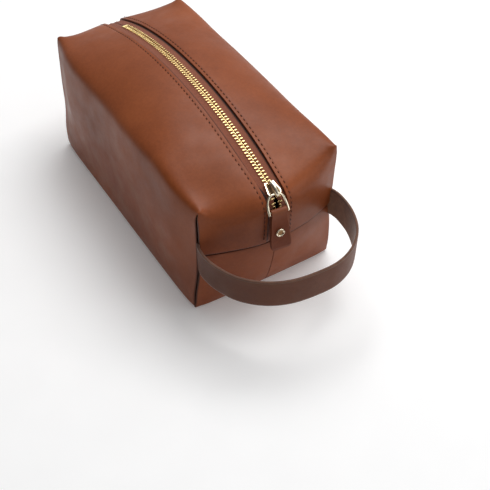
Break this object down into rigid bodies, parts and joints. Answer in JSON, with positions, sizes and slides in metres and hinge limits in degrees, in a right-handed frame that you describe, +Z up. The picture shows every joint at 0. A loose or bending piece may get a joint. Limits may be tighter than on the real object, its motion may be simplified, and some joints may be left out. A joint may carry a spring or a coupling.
{
  "type": "shaving kit bag",
  "caption": "Boxed leather toilet bag with a curved brass zipper along its top, a fork-and-tab zipper puller and a leather loop handle at one end.",
  "frame": {"origin": "middle of the flat resting face, below the middle of the bag's body", "axes": "+X across the bag to its right side seen from the handle end, +Y along the bag from the handle end to the rear end, +Z up; the handle end faces -Y"},
  "size_m": [0.1276, 0.3237, 0.1294],
  "materials": {
    "leather_brown": "smooth satin",
    "strap_leather": "smooth satin outside, suede inside",
    "tab_leather": "smooth satin",
    "zipper_tape": "twill weave",
    "brass": "bright",
    "polished_brass": "polished",
    "lining_cloth": "plain cloth",
    "thread": "waxed thread"
  },
  "bodies": {
    "bag": {"left_body_panel": "leather_brown", "right_body_panel": "leather_brown", "body_lining": "lining_cloth", "front_tape_ends": "zipper_tape", "rear_tape_ends": "zipper_tape", "front_teeth": "brass", "rear_teeth": "brass", "top_stops": "brass", "bottom_stop": "brass", "end_stitches": "thread"},
    "left_flap": {"left_top_panel": "leather_brown", "left_flap_lining": "lining_cloth", "left_tape": "zipper_tape", "left_teeth": "brass", "left_stitches": "thread"},
    "right_flap": {"right_top_panel": "leather_brown", "right_flap_lining": "lining_cloth", "right_tape": "zipper_tape", "right_teeth": "brass", "right_stitches": "thread"},
    "slider": {"slider_body": "polished_brass", "slider_bridge": "polished_brass"},
    "puller": {"puller_fork": "polished_brass", "puller_bar": "polished_brass"},
    "tab": {"pull_tab": "tab_leather", "rivet_cap": "polished_brass", "rivet_back": "polished_brass"},
    "handle": {"handle_strap": "strap_leather"}
  },
  "joints": [
    {"name": "slider_travel", "type": "hinge", "parent": "bag", "child": "slider", "pos_m": [0, 0, -0.201], "axis": [-1, 0, 0], "range_deg": [0, 39], "deforming": ["front_tape_ends", "rear_tape_ends", "left_tape", "right_tape", "front_teeth", "rear_teeth", "left_teeth", "right_teeth"]},
    {"name": "left_flap_fold", "type": "hinge", "parent": "bag", "child": "left_flap", "pos_m": [-0.0635, 0, 0.108], "axis": [0, -1, 0], "range_deg": [0, 45]},
    {"name": "right_flap_fold", "type": "hinge", "parent": "bag", "child": "right_flap", "pos_m": [0.0635, 0, 0.108], "axis": [0, 1, 0], "range_deg": [0, 45]},
    {"name": "fork_swing", "type": "hinge", "parent": "slider", "child": "puller", "pos_m": [0, -0.1332, 0.10313], "axis": [-1, 0, 0], "range_deg": [0, 160]},
    {"name": "tab_swing", "type": "hinge", "parent": "puller", "child": "tab", "pos_m": [0, -0.13963, 0.09241], "axis": [-1, 0, 0], "range_deg": [0, 70]},
    {"name": "handle_swing", "type": "hinge", "parent": "bag", "child": "handle", "pos_m": [0, -0.1344, 0.0585], "axis": [-1, 0, 0], "range_deg": [-35, 50], "stiffness_Nm_per_rad": 0.2}
  ],
  "couplings": [
    {"joint": "left_flap_fold", "follows": "slider_travel", "ratio": 1.15},
    {"joint": "right_flap_fold", "follows": "slider_travel", "ratio": 1.15}
  ]
}
